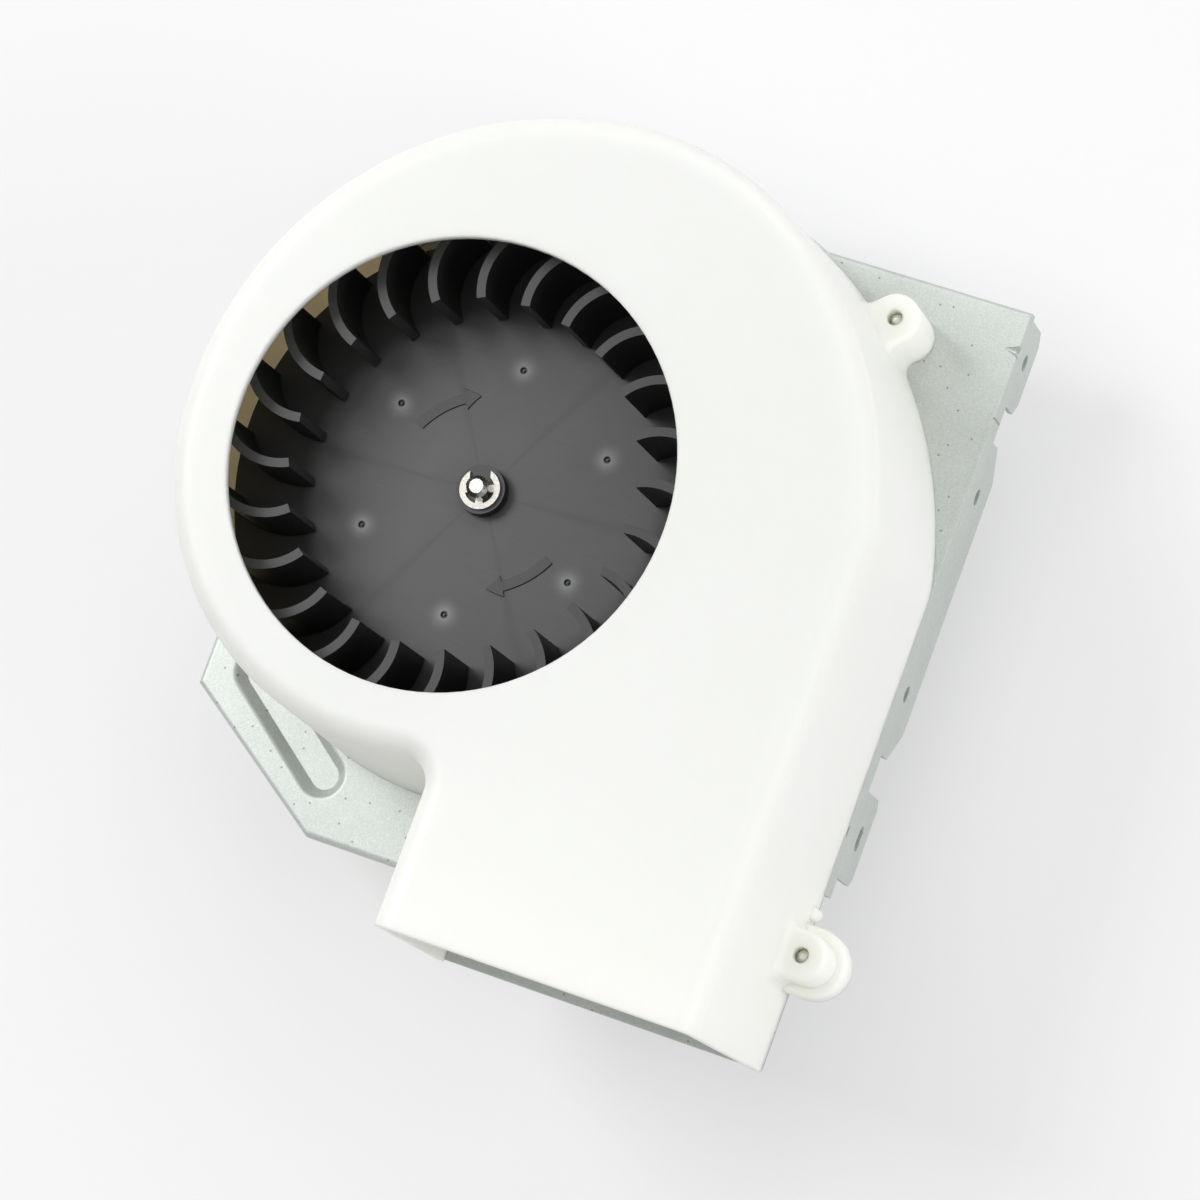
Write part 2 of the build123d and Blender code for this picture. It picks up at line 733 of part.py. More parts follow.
# Spring retainers that press the bearings into their cups, and the oil felts round them
retainer_rise = sqrt(bearing_ball_radius**2 - retainer_inner_radius**2)
retainer_top = bearing_middle - retainer_rise
front_retainer = cup_ring(retainer_inner_radius, retainer_top, retainer_thickness)
rear_retainer = mirror(front_retainer, about=mirror_of_plate_side)
write_part("bearing_retainers", Compound([front_retainer.solid(), rear_retainer.solid()]))
front_felt = cup_ring(felt_inner_radius, cup_floor, cup_floor - retainer_top)
rear_felt = mirror(front_felt, about=mirror_of_plate_side)
write_part("oil_felts", Compound([front_felt.solid(), rear_felt.solid()]))

# Stator stack: pole block with the rotor's bore, and the two limbs that reach to the coil leg
with BuildPart() as stator_stack:
    with BuildSketch(Plane.XY.offset(stack_bottom)):
        with Locations((0, (stack_top_y + pole_bottom_y) / 2)):
            RectangleRounded(stack_half_width * 2, stack_top_y - pole_bottom_y, stack_corner)
        for side in (-1, 1):
            limb_middle = side * (stack_half_width - limb_width / 2)
            with Locations((limb_middle, leg_bottom_y / 2)):
                Rectangle(limb_width, -leg_bottom_y)
        Circle(rotor_bore_radius, mode=Mode.SUBTRACT)
        with Locations(*bolt_places):
            Circle(bolt_radius + bolt_hole_clearance, mode=Mode.SUBTRACT)
        for radius in (shading_inner_radius, shading_outer_radius):
            for angle in shading_angles:
                with PolarLocations(radius, 1, start_angle=angle):
                    Circle(shading_wire / 2 + shading_hole_clearance, mode=Mode.SUBTRACT)
    extrude(amount=stack_height)
write_part("stator_stack", stator_stack.part)

# Coil leg: the separate pack of laminations that carries the coil, pressed between the limbs
with BuildPart() as coil_leg:
    with Locations((0, leg_middle_y, stack_middle)):
        Box(leg_length, leg_height, stack_height)
write_part("coil_leg", coil_leg.part)


def across_leg(offset):
    """Plane across the coil leg: its x runs along Y and its normal along X."""
    return Plane.YZ.offset(offset)


coil_middle = (leg_middle_y, stack_middle)
tube_y = leg_height + (bobbin_fit + bobbin_wall) * 2
tube_z = stack_height + (bobbin_fit + bobbin_wall) * 2

# Coil bobbin: a moulded tube over the leg, with a flange at each end
with BuildPart() as coil_bobbin:
    with BuildSketch(across_leg(-coil_length / 2)):
        with Locations(coil_middle):
            Rectangle(tube_y, tube_z)
    extrude(amount=coil_length)
    for start in (-coil_length / 2 - bobbin_flange, coil_length / 2):
        with BuildSketch(across_leg(start)):
            with Locations(coil_middle):
                RectangleRounded(bobbin_half_y * 2, bobbin_half_z * 2, bobbin_flange)
        extrude(amount=bobbin_flange)
    with BuildSketch(across_leg(-coil_length)):
        with Locations(coil_middle):
            Rectangle(leg_height + bobbin_fit * 2, stack_height + bobbin_fit * 2)
    extrude(amount=coil_length * 2, mode=Mode.SUBTRACT)
write_part("coil_bobbin", coil_bobbin.part)

# Winding: enamelled wire wound on the bobbin, drawn as its outer form
with BuildPart() as coil_winding:
    with BuildSketch(across_leg(-coil_length / 2)):
        with Locations(coil_middle):
            RectangleRounded(winding_half_y * 2, winding_half_z * 2, winding_corner)
            Rectangle(tube_y, tube_z, mode=Mode.SUBTRACT)
    extrude(amount=coil_length)
write_part("coil_winding", coil_winding.part)

# Insulating tape wrapped round the winding
with BuildPart() as coil_tape:
    with BuildSketch(across_leg(-coil_length / 2)):
        with Locations(coil_middle):
            RectangleRounded((winding_half_y + tape_thickness) * 2,
                             (winding_half_z + tape_thickness) * 2,
                             winding_corner + tape_thickness)
            RectangleRounded(winding_half_y * 2, winding_half_z * 2, winding_corner,
                             mode=Mode.SUBTRACT)
    extrude(amount=coil_length)
write_part("coil_tape", coil_tape.part)

# Shading rings: closed copper loops through the stack, beside the rotor's bore
with BuildPart() as shading_rings:
    loop_height = stack_height + shading_wire * 2
    for angle in shading_angles:
        turn = Rotation(0, 0, angle)
        ring_spots = [turn * Location((radius, 0, stack_middle))
                      for radius in (shading_inner_radius, shading_outer_radius)]
        with Locations(*ring_spots):
            Cylinder(shading_wire / 2, loop_height)
        bar_radius = (shading_inner_radius + shading_outer_radius) / 2
        bar_length = shading_outer_radius - shading_inner_radius
        for level in (stack_top + shading_wire / 2, stack_bottom - shading_wire / 2):
            with Locations(turn * Location((bar_radius, 0, level))):
                Box(bar_length, shading_wire, shading_wire)
write_part("shading_rings", shading_rings.part)

# Spacer sleeves that the motor bolts clamp, so that the rubber isn't crushed
sleeve_top = plate_face + grommet_rise
with BuildPart() as spacer_sleeves:
    with BuildSketch(Plane.XY.offset(bracket_top)):
        with Locations(*bolt_places):
            Circle(sleeve_radius)
            Circle(bolt_radius + bolt_hole_clearance, mode=Mode.SUBTRACT)
    extrude(amount=sleeve_top - bracket_top)
write_part("spacer_sleeves", spacer_sleeves.part)

# Rubber grommets in the plate's motor holes
with BuildPart() as rubber_grommets:
    for low, high in ((bracket_top, plate_back), (plate_face, sleeve_top)):
        with BuildSketch(Plane.XY.offset(low)):
            with Locations(*bolt_places):
                Circle(grommet_radius)
        extrude(amount=high - low)
    with BuildSketch(Plane.XY.offset(plate_back)):
        with Locations(*bolt_places):
            Circle(grommet_neck_radius)
    extrude(amount=sheet)
    with BuildSketch(Plane.XY.offset(bracket_top)):
        with Locations(*bolt_places):
            Circle(sleeve_radius)
    extrude(amount=sleeve_top - bracket_top, mode=Mode.SUBTRACT)
write_part("rubber_grommets", rubber_grommets.part)

# Washers under the bolt heads
washer_top = sleeve_top + washer_thickness
with BuildPart() as bolt_washers:
    with BuildSketch(Plane.XY.offset(sleeve_top)):
        with Locations(*bolt_places):
            Circle(washer_radius)
            Circle(bolt_radius + bolt_hole_clearance, mode=Mode.SUBTRACT)
    extrude(amount=washer_thickness)
write_part("bolt_washers", bolt_washers.part)

# Motor bolts: from the fan side through plate, brackets and stack
rear_ear_face = 2 * stack_middle - bracket_top
nut_bottom = rear_ear_face - nut_height
with BuildPart() as motor_bolts:
    with BuildSketch(Plane.XY.offset(nut_bottom - bolt_end_beyond_nut)):
        with Locations(*bolt_places):
            Circle(bolt_radius)
    extrude(amount=washer_top - nut_bottom + bolt_end_beyond_nut)
    ends = motor_bolts.edges().filter_by(GeomType.CIRCLE).group_by(Axis.Z)[0]
    chamfer(ends, bolt_radius / 4)
    with BuildSketch(Plane.XY.offset(washer_top)):
        with Locations(*bolt_places):
            Circle(bolt_head_radius)
    extrude(amount=bolt_head_height)
    crowns = motor_bolts.edges().filter_by(GeomType.CIRCLE).group_by(Axis.Z)[-1]
    fillet(crowns, bolt_head_height / 2)
write_part("motor_bolts", motor_bolts.part)

# Nuts behind the rear bracket
with BuildPart() as motor_nuts:
    with BuildSketch(Plane.XY.offset(nut_bottom)):
        with Locations(*bolt_places):
            RegularPolygon(nut_flats / 2, 6, major_radius=False)
            Circle(bolt_radius, mode=Mode.SUBTRACT)
    extrude(amount=nut_height)
write_part("motor_nuts", motor_nuts.part)

# Terminal block across the bobbin's flanges, level with the rear bracket's cup
block_top = stack_middle - bobbin_half_z
block_width = coil_length + bobbin_flange * 2
with BuildPart() as terminal_block:
    with BuildSketch(Plane.XY.offset(cup_back_end)):
        with Locations((0, leg_middle_y)):
            RectangleRounded(block_width, terminal_block_width, bobbin_flange)
    extrude(amount=block_top - cup_back_end)
    slot_middle = (cup_back_end + block_top) / 2
    with Locations(*[(x, leg_middle_y - terminal_block_width / 2, slot_middle)
                     for x in (-terminal_spacing / 2, terminal_spacing / 2)]):
        Box(terminal_width, terminal_block_width, terminal_thickness, mode=Mode.SUBTRACT)
write_part("terminal_block", terminal_block.part)

# Tab terminals, pushed into the block's slots
with BuildPart() as terminals:
    tab_length = terminal_block_width / 2 + terminal_reach
    tab_middle = leg_middle_y - tab_length / 2
    with BuildSketch(Plane.XY.offset(slot_middle - terminal_thickness / 2)) as tab_shape:
        with Locations((-terminal_spacing / 2, tab_middle), (terminal_spacing / 2, tab_middle)):
            Rectangle(terminal_width, tab_length)
        chamfer(tab_shape.vertices().group_by(Axis.Y)[0], terminal_width / 5)
        hole_y = leg_middle_y - tab_length + terminal_width / 2
        with Locations((-terminal_spacing / 2, hole_y), (terminal_spacing / 2, hole_y)):
            Circle(terminal_hole_radius, mode=Mode.SUBTRACT)
    extrude(amount=terminal_thickness)
write_part("terminals", terminals.part)
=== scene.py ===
# %% [markdown]
# # A centrifugal blower motor
# The blower is a white moulded scroll on a folded steel plate. A black bladed wheel turns inside
# it, on the shaft of a small motor behind the plate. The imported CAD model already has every
# shape that carries something. This lesson gives each piece the surface of its real material,
# makes the fine hardware anew, and lights the whole as for a catalogue picture.

import json
from math import pi, radians

import bpy
import numpy as np
from mathutils import Matrix, Vector


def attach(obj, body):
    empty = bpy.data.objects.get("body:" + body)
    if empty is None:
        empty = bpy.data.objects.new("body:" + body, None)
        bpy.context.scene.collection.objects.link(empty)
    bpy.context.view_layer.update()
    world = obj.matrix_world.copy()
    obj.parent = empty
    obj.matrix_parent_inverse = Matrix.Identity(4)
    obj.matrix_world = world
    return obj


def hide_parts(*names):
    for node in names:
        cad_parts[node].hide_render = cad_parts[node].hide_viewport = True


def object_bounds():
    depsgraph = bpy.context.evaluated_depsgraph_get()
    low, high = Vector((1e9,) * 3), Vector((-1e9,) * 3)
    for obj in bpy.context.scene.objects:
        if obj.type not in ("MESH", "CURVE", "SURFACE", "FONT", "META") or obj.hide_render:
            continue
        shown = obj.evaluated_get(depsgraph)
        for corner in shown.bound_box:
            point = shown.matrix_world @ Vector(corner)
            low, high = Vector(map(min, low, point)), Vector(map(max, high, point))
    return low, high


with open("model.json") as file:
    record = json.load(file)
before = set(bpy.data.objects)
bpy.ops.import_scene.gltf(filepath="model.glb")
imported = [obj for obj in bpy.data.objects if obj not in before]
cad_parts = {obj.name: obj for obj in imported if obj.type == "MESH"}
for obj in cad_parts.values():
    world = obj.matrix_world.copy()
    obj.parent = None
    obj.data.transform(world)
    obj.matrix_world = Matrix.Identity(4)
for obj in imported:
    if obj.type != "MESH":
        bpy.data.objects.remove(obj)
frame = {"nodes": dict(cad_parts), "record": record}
nodes = frame["nodes"]
cad_low, cad_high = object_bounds()
mm = 0.001
print("CAD nodes:", len(nodes), "size in mm:", [round(v / mm, 1) for v in cad_high - cad_low])

# %% [markdown]
# ## The camera
# The photograph was taken from almost straight above the inlet, with a long lens, and turned in
# the picture. A camera is placed by its position and three directions: its right, its down and
# the way ahead. Blender's camera looks along its own -z with +y up, so down and ahead change
# sign before they become columns of the rotation matrix. It could be turned by hand until the
# picture fits. These numbers were worked out from the inlet's ellipse and the plate's edges
# instead, so that sizes read from the picture agree with the CAD model.

# %% Camera
camera_spot = Vector((450.1, -176.0, 1326.7)) * mm
camera_right = Vector((0.9105, 0.3405, -0.2346))
camera_down = Vector((0.2980, -0.9337, -0.1984))
camera_ahead = Vector((-0.2866, 0.1108, -0.9516))

lens = bpy.data.cameras.new("camera")
lens.lens = 165.0
lens.sensor_width = 36.0
lens.clip_end = 20.0
camera = bpy.data.objects.new("camera", lens)
turn = Matrix((camera_right, -camera_down, -camera_ahead)).transposed()
camera.matrix_world = Matrix.Translation(camera_spot) @ turn.to_4x4()
bpy.context.scene.collection.objects.link(camera)
bpy.context.scene.camera = camera
print("camera distance in mm:", round(camera_spot.length / mm))

# %% [markdown]
# ## Colours and nodes
# A colour picked from a picture is written as an sRGB hex value, and Blender works in linear
# light, so one function turns the first into the second. A material is a small graph of nodes.
# It could be drawn in the shader editor, but as text it can be read, compared and run again. One
# helper adds a node, sets its values and links its inputs, whatever its kind. An input is given
# by its name, or as _0, _1 and so on by its place where names repeat.


# %% Helpers for materials
def linear(code):
    """An sRGB hex value as linear red, green, blue and alpha."""
    channels = np.array([int(code[i:i + 2], 16) for i in (1, 3, 5)]) / 255
    low = channels / 12.92
    high = ((channels + 0.055) / 1.055) ** 2.4
    return (*np.where(channels <= 0.04045, low, high).tolist(), 1.0)


def add_node(tree, kind, settings=None, **inputs):
    """Add a node, set its own settings, and give its inputs values or links from sockets."""
    node = tree.nodes.new("ShaderNode" + kind)
    for name, value in (settings or {}).items():
        setattr(node, name, value)
    for name, value in inputs.items():
        socket = node.inputs[int(name[1:]) if name[0] == "_" else name.replace("_", " ")]
        if isinstance(value, bpy.types.NodeSocket):
            tree.links.new(value, socket)
        else:
            socket.default_value = value
    return node


def new_material(name):
    """An empty material with its output, and the object coordinates that patterns read."""
    material = bpy.data.materials.new(name)
    material.use_nodes = True
    tree = material.node_tree
    tree.nodes.clear()
    place = add_node(tree, "TexCoord").outputs["Object"]
    return material, tree, place


def close_material(tree, surface):
    """Link the finished surface to the material's output."""
    add_node(tree, "OutputMaterial", Surface=surface)


print("white is", linear("#FFFFFF")[:3], "and mid grey is", linear("#808080")[:3])

# %% [markdown]
# ## Moulded polyester, white
# The scroll is injection moulded from a white engineering polyester. It reads as a soft satin:
# its index of refraction is 1.57, and the fine spark-eroded skin of the mould spreads the
# highlight. Light passes some way into a white wall and comes out beside the spot where it
# went in, so the sides away from the lamps stay bright. More lamps could lift those sides too,
# but they would wash out the forms, so subsurface scattering does it.
#
# Inside, the wall behind the blades is painted a warm buff. That is painted light: it stands
# for the light that comes through the thin white walls and bounces between them. An inner face
# is one whose normal points back at the shaft, so a dot product finds it. The solid has square
# rims, which keep the inlet a true cylinder. A Bevel modifier would change the CAD mesh, so a
# Bevel node turns the normal near each rim and shows the mould's small rounding.
#
# Lengths here are in metres, as in Blender, and a pattern's scale is its repeats per metre.

# %% Scroll plastic
flow_scale = 9.0  # flow clouds of about 110 mm
skin_scale = 1800.0  # the mould's skin, drawn at 0.6 mm so that it shows
wall_facing = (-0.004, -0.03)  # dot product of place and normal where a wall counts as inner
duct_start = (0.015, 0.0)  # x between which the duct gives way to the scroll
inlet_rim = (-0.003, -0.006)  # z between which the inlet's rim ends
rim_rounding = 0.0012


def scroll_plastic():
    """Satin white polyester with a fine skin, and painted warm light on its inner faces."""
    material, tree, place = new_material("moulded_white_polyester")
    flow = add_node(tree, "TexNoise", Vector=place, Scale=flow_scale, Detail=3.0, Roughness=0.5)
    tone = add_node(tree, "ValToRGB", Fac=flow.outputs["Fac"])
    tone.color_ramp.elements[0].position = 0.35
    tone.color_ramp.elements[0].color = linear("#F8F9EC")
    tone.color_ramp.elements[1].position = 0.65
    tone.color_ramp.elements[1].color = linear("#FBFBF1")
    # The dot product of place and normal is negative where a wall faces the shaft
    normal = add_node(tree, "NewGeometry").outputs["Normal"]
    level = add_node(tree, "VectorMath", {"operation": "MULTIPLY"}, _0=place, _1=(1, 1, 0))
    facing = add_node(tree, "VectorMath", {"operation": "DOT_PRODUCT"},
                      _0=level.outputs[0], _1=normal)
    inward = add_node(tree, "MapRange", Value=facing.outputs["Value"],
                      From_Min=wall_facing[0], From_Max=wall_facing[1], To_Min=0.0, To_Max=1.0)
    # The painted warm light stays out of the duct and off the rim of the inlet
    spot = add_node(tree, "SeparateXYZ", Vector=place)
    scroll_side = add_node(tree, "MapRange", Value=spot.outputs["X"],
                           From_Min=duct_start[0], From_Max=duct_start[1])
    below_roof = add_node(tree, "MapRange", Value=spot.outputs["Z"],
                          From_Min=inlet_rim[0], From_Max=inlet_rim[1])
    inside = add_node(tree, "Math", {"operation": "MULTIPLY"},
                      _0=inward.outputs["Result"], _1=scroll_side.outputs["Result"])
    inside = add_node(tree, "Math", {"operation": "MULTIPLY"},
                      _0=inside.outputs[0], _1=below_roof.outputs["Result"])
    # Inner faces take a warm buff: painted light for light through and between the walls
    colour = add_node(tree, "Mix", {"data_type": "RGBA"}, _0=inside.outputs[0],
                      _6=tone.outputs["Color"], _7=linear("#DCCDB4"))
    edge = add_node(tree, "Bevel", {"samples": 6}, Radius=rim_rounding)
    skin = add_node(tree, "TexNoise", Vector=place, Scale=skin_scale, Detail=2.0, Roughness=0.6)
    relief = add_node(tree, "Bump", Height=skin.outputs["Fac"], Normal=edge.outputs["Normal"],
                      Strength=0.06, Distance=0.0002)
    surface = add_node(tree, "BsdfPrincipled", Base_Color=colour.outputs[2], Roughness=0.48,
                       IOR=1.57, Normal=relief.outputs["Normal"], Subsurface_Weight=0.65,
                       Subsurface_Radius=(1.0, 0.94, 0.84), Subsurface_Scale=0.011)
    close_material(tree, surface.outputs["BSDF"])
    return material


nodes["scroll_housing"].data.materials.clear()
nodes["scroll_housing"].data.materials.append(scroll_plastic())
print("scroll plastic on", nodes["scroll_housing"].name)

# %% [markdown]
# ## Moulded polypropylene, black
# The wheel is black polypropylene. Its disc shows how it was moulded: pale stress marks round
# the six ejector pins, faint dark weld lines between them where the flows met, and fine wipe
# marks all one way. A painted picture could hold them, but it would blur up close. Polar
# coordinates round the shaft place the first two exactly, at any distance.
#
# The disc is rubbed and dusty, and reads as a mid grey. What stands above it is made
# darker, and the hub and the blades' tops darker still: painted shade that holds back the
# light those higher faces catch. Between the blades the disc is painted nearly black, as
# painted shade for the shadow of the blades and the rim. The steep sides of the blades and
# of the hub are painted nearly black too: painted shade for faces turned from the light.
# The height of a point, its distance from the shaft and the tilt of its normal tell these
# apart. An Ambient Occlusion node of 0.8 mm finds the grooves round the ejector marks and
# the feet of the blades and the hub, and darkens them as painted shade. The middle of each
# ejector mark is painted as a dark spot, painted shade for its recess.

# %% Wheel plastic
mark_circle = 0.034  # radius of the circle that the ejector marks stand on
first_mark = radians(32.2)  # where on it the first of the six stands
halo_size = 0.006  # radius where a pale halo ends
pin_size = 0.0006  # radius inside which a halo is palest
pin_edge = (0.0009, 0.0012)  # distances between which a mark's painted dark spot ends
weld_edge = (radians(26), radians(30))  # folded angles between which a weld line darkens
cloud_scale = 45.0  # dusty clouds of about 22 mm
wipe_scale = (90, 2600, 90)  # wipe marks 11 mm long and 0.4 mm apart
groove_size = 0.0008
side_shade_tilt = (0.3, 0.8)  # z of the normal: below the first, a steep face gets the full painted shade
disc_level = (-0.0347, -0.0346)  # z between which a point leaves the disc
hub_level = (-0.033, -0.031)  # z where the painted shade on the hub and the blades' tops starts
blade_shade_ring = (0.045, 0.051)  # radii between which the painted shade between the blades begins
blade_shade_depth = (-0.026, -0.034)  # z between which that painted shade reaches its full black


def wheel_plastic():
    """Black polypropylene with ejector blush, weld lines, wipe marks and painted shade."""
    material, tree, place = new_material("moulded_black_polypropylene")
    split = add_node(tree, "SeparateXYZ", Vector=place)
    angle = add_node(tree, "Math", {"operation": "ARCTAN2"},
                     _0=split.outputs["Y"], _1=split.outputs["X"])
    level = add_node(tree, "VectorMath", {"operation": "MULTIPLY"}, _0=place, _1=(1, 1, 0))
    radius = add_node(tree, "VectorMath", {"operation": "LENGTH"}, _0=level.outputs[0])
    # The six marks stand 60 degrees apart, so the angle is folded into one sector round each mark
    turned = add_node(tree, "Math", {"operation": "SUBTRACT"},
                      _0=angle.outputs[0], _1=first_mark)
    folded = add_node(tree, "Math", {"operation": "WRAP"},
                      _0=turned.outputs[0], _1=pi / 6, _2=-pi / 6)
    along = add_node(tree, "Math", {"operation": "SUBTRACT"},
                     _0=radius.outputs["Value"], _1=mark_circle)
    across = add_node(tree, "Math", {"operation": "MULTIPLY"},
                      _0=folded.outputs[0], _1=mark_circle)
    offset = add_node(tree, "CombineXYZ", X=along.outputs[0], Y=across.outputs[0])
    distance = add_node(tree, "VectorMath", {"operation": "LENGTH"}, _0=offset.outputs[0])
    halo = add_node(tree, "MapRange", Value=distance.outputs["Value"],
                    From_Min=halo_size, From_Max=pin_size)
    blush = add_node(tree, "Math", {"operation": "POWER"}, _0=halo.outputs["Result"], _1=2.6)
    # A weld line runs half way between two marks, where the folded angle nears 30 degrees
    weld_turn = add_node(tree, "Math", {"operation": "ABSOLUTE"}, _0=folded.outputs[0])
    weld = add_node(tree, "MapRange", {"interpolation_type": "SMOOTHSTEP"},
                    Value=weld_turn.outputs[0], From_Min=weld_edge[0], From_Max=weld_edge[1],
                    To_Min=1.0, To_Max=0.78)
    wipe_space = add_node(tree, "Mapping", Vector=place, Rotation=(0, 0, radians(-22)),
                          Scale=wipe_scale)
    wipe = add_node(tree, "TexNoise", Vector=wipe_space.outputs[0], Scale=1.0, Detail=4.0,
                    Roughness=0.65)
    cloud = add_node(tree, "TexNoise", Vector=place, Scale=cloud_scale, Detail=4.0,
                     Roughness=0.6)
    streak = add_node(tree, "MapRange", Value=wipe.outputs["Fac"], From_Min=0.3, From_Max=0.7,
                      To_Min=0.9, To_Max=1.1)
    patch = add_node(tree, "MapRange", Value=cloud.outputs["Fac"], From_Min=0.3, From_Max=0.7,
                     To_Min=0.9, To_Max=1.1)
    shade = add_node(tree, "Math", {"operation": "MULTIPLY"},
                     _0=streak.outputs["Result"], _1=patch.outputs["Result"])
    shade = add_node(tree, "Math", {"operation": "MULTIPLY"},
                     _0=shade.outputs[0], _1=weld.outputs["Result"])
    # Painted shade: ambient occlusion darkens grooves and the feet of the blades and the hub
    corner = add_node(tree, "AmbientOcclusion", {"samples": 8, "only_local": True},
                      Distance=groove_size)
    painted_groove_shade = add_node(tree, "MapRange", Value=corner.outputs["AO"], From_Min=0.5, From_Max=0.9,
                      To_Min=0.08, To_Max=1.0)
    shade = add_node(tree, "Math", {"operation": "MULTIPLY"},
                     _0=shade.outputs[0], _1=painted_groove_shade.outputs["Result"])
    # Painted shade: a steep face, turned from the light, is made nearly black
    normal = add_node(tree, "NewGeometry").outputs["Normal"]
    tilt = add_node(tree, "SeparateXYZ", Vector=normal)
    painted_side_shade = add_node(tree, "MapRange", Value=tilt.outputs["Z"], From_Min=side_shade_tilt[0],
                     From_Max=side_shade_tilt[1], To_Min=0.25, To_Max=1.0)
    shade = add_node(tree, "Math", {"operation": "MULTIPLY"},
                     _0=shade.outputs[0], _1=painted_side_shade.outputs["Result"])
    # What stands above the disc is made darker, and the hub and the blades' tops get painted shade
    raised = add_node(tree, "MapRange", Value=split.outputs["Z"], From_Min=disc_level[0],
                      From_Max=disc_level[1], To_Min=1.0, To_Max=0.62)
    shade = add_node(tree, "Math", {"operation": "MULTIPLY"},
                     _0=shade.outputs[0], _1=raised.outputs["Result"])
    high = add_node(tree, "MapRange", Value=split.outputs["Z"], From_Min=hub_level[0],
                    From_Max=hub_level[1], To_Min=1.0, To_Max=0.84)
    shade = add_node(tree, "Math", {"operation": "MULTIPLY"},
                     _0=shade.outputs[0], _1=high.outputs["Result"])
    # Painted shade: between the blades the disc is made nearly black, for the blades' shadow
    outer = add_node(tree, "MapRange", {"interpolation_type": "SMOOTHSTEP"},
                     Value=radius.outputs["Value"], From_Min=blade_shade_ring[0],
                     From_Max=blade_shade_ring[1], To_Min=0.0, To_Max=0.85)
    deep = add_node(tree, "MapRange", Value=split.outputs["Z"], From_Min=blade_shade_depth[0],
                    From_Max=blade_shade_depth[1], To_Min=0.0, To_Max=1.0)
    painted_blade_shade = add_node(tree, "Math", {"operation": "MULTIPLY"},
                     _0=outer.outputs["Result"], _1=deep.outputs["Result"])
    unshaded_share = add_node(tree, "Math", {"operation": "SUBTRACT"}, _0=1.0, _1=painted_blade_shade.outputs[0])
    shade = add_node(tree, "Math", {"operation": "MULTIPLY"},
                     _0=shade.outputs[0], _1=unshaded_share.outputs[0])
    # Painted shade: the middle of each ejector mark is made a dark spot inside its pale halo
    painted_pin_shade = add_node(tree, "MapRange", Value=distance.outputs["Value"], From_Min=pin_edge[0],
                   From_Max=pin_edge[1], To_Min=0.15, To_Max=1.0)
    shade = add_node(tree, "Math", {"operation": "MULTIPLY"},
                     _0=shade.outputs[0], _1=painted_pin_shade.outputs["Result"])
    base = add_node(tree, "Mix", {"data_type": "RGBA"}, _0=blush.outputs[0],
                    _6=linear("#424342"), _7=linear("#868887"))
    colour = add_node(tree, "VectorMath", {"operation": "SCALE"},
                      _0=base.outputs[2], Scale=shade.outputs[0])
    relief = add_node(tree, "Bump", Height=wipe.outputs["Fac"], Strength=0.08, Distance=0.0001)
    surface = add_node(tree, "BsdfPrincipled", Base_Color=colour.outputs[0], Roughness=0.46,
                       IOR=1.49, Normal=relief.outputs["Normal"])
    close_material(tree, surface.outputs["BSDF"])
    return material


nodes["impeller"].data.materials.clear()
nodes["impeller"].data.materials.append(wheel_plastic())
print("wheel plastic on", nodes["impeller"].name)

# %% [markdown]
# ## Zinc coated sheet steel
# The plate is pressed from cold rolled sheet with a thin coat of zinc. The coat is grey with a
# green cast and matt, and pale grains in it catch the light one by one. Noise would give soft
# clouds, but a grain has an edge and one brightness, as a cell of a Voronoi pattern has. Real
# grains are finer than a pixel, so they are drawn at a quarter of a millimetre.
#
# Specks of dirt lie about 9 mm apart. They are the middles of larger cells, in two dimensions so
# that a fold doesn't cut them. The punch and the press leave the edges slightly round, and a
# Bevel node shows that.

# %% Coated steel
grain_scale = 4200.0
dirt_scale = 110.0
mottle_scale = 60.0  # drifts of tone of about 17 mm
speck_edge = (0.02, 0.045)  # distances, in cells, between which a speck ends
press_rounding = 0.0004


def coated_steel():
    """Zinc coated sheet: matt and half metallic, with fine pale grains and a few specks."""
    material, tree, place = new_material("zinc_coated_steel")
    grain = add_node(tree, "TexVoronoi", Vector=place, Scale=grain_scale)
    grains = add_node(tree, "SeparateColor", Color=grain.outputs["Color"])
    pale = add_node(tree, "MapRange", Value=grains.outputs[0], From_Min=0.3, From_Max=1.0,
                    To_Min=0.0, To_Max=0.4)
    cloud = add_node(tree, "TexNoise", Vector=place, Scale=mottle_scale, Detail=5.0,
                     Roughness=0.55)
    tone = add_node(tree, "ValToRGB", Fac=cloud.outputs["Fac"])
    tone.color_ramp.elements[0].position = 0.3
    tone.color_ramp.elements[0].color = linear("#B4B9B5")
    tone.color_ramp.elements[1].position = 0.7
    tone.color_ramp.elements[1].color = linear("#BCC1BD")
    grey = add_node(tree, "Mix", {"data_type": "RGBA"}, _0=pale.outputs["Result"],
                    _6=tone.outputs["Color"], _7=linear("#DCE0DC"))
    dirt = add_node(tree, "TexVoronoi", {"voronoi_dimensions": "2D"}, Vector=place,
                    Scale=dirt_scale)
    speck = add_node(tree, "MapRange", Value=dirt.outputs["Distance"], From_Min=speck_edge[0],
                     From_Max=speck_edge[1], To_Min=0.75, To_Max=0.0)
    colour = add_node(tree, "Mix", {"data_type": "RGBA"}, _0=speck.outputs["Result"],
                      _6=grey.outputs[2], _7=linear("#77726A"))
    edge = add_node(tree, "Bevel", {"samples": 6}, Radius=press_rounding)
    relief = add_node(tree, "Bump", Height=grains.outputs[1], Normal=edge.outputs["Normal"],
                      Strength=0.08, Distance=0.0001)
    surface = add_node(tree, "BsdfPrincipled", Base_Color=colour.outputs[2], Metallic=0.5,
                       Roughness=0.5, Normal=relief.outputs["Normal"])
    close_material(tree, surface.outputs["BSDF"])
    return material


